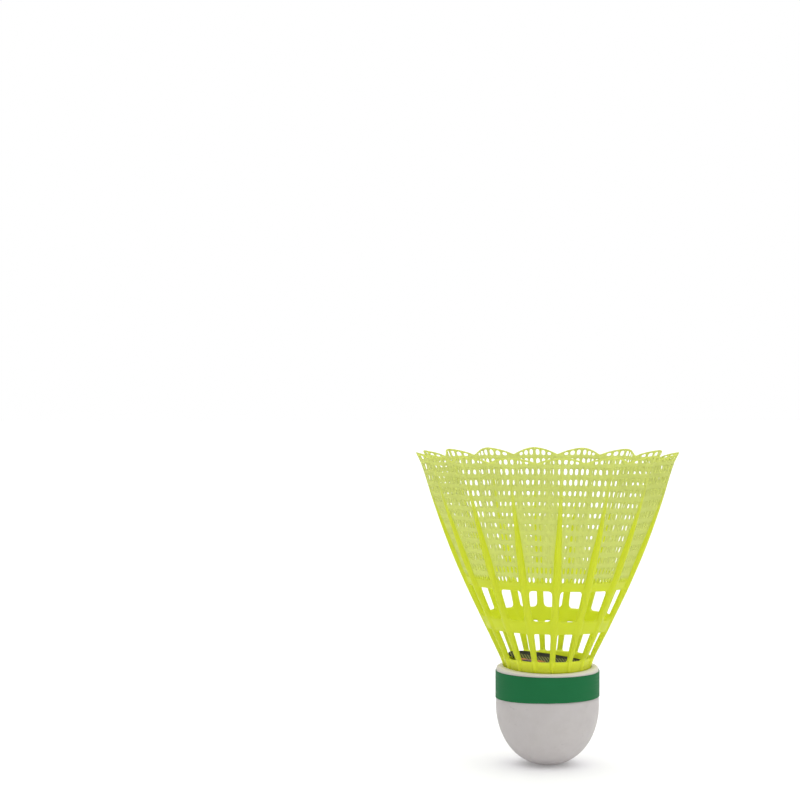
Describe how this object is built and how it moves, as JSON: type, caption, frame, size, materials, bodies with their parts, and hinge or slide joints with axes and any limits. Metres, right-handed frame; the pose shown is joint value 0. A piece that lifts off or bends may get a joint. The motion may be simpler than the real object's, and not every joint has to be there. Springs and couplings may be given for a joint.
{
  "type": "badminton shuttlecock",
  "caption": "Shuttlecock with a flared, pleated nylon net skirt on stiff ribs, glued into a rounded leatherette-covered base with a coloured tape band.",
  "frame": {"origin": "middle of the small flat on the tip of the base", "axes": "+Z along the axis of revolution, from the base towards the open end of the skirt; one rib of the skirt lies in the plane through -Y"},
  "size_m": [0.0664, 0.0664, 0.0779],
  "materials": {
    "skirt_nylon": "fluorescent yellow-green moulded nylon, slightly translucent, satin",
    "core_cork": "agglomerated cork, raw",
    "cover_leatherette": "off-white polyurethane leatherette, matt, fine grain",
    "band_tape": "green vinyl tape, satin",
    "weight_steel": "stamped washer, plain",
    "label_paper": "dark printed card with a plain geometric pattern",
    "glue": "cured clear adhesive"
  },
  "bodies": {
    "root": {"skirt": "skirt_nylon", "base_core": "core_cork", "base_cover": "cover_leatherette", "speed_band": "band_tape", "weight_ring": "weight_steel", "hub_label": "label_paper", "glue_bead": "glue"}
  },
  "joints": []
}
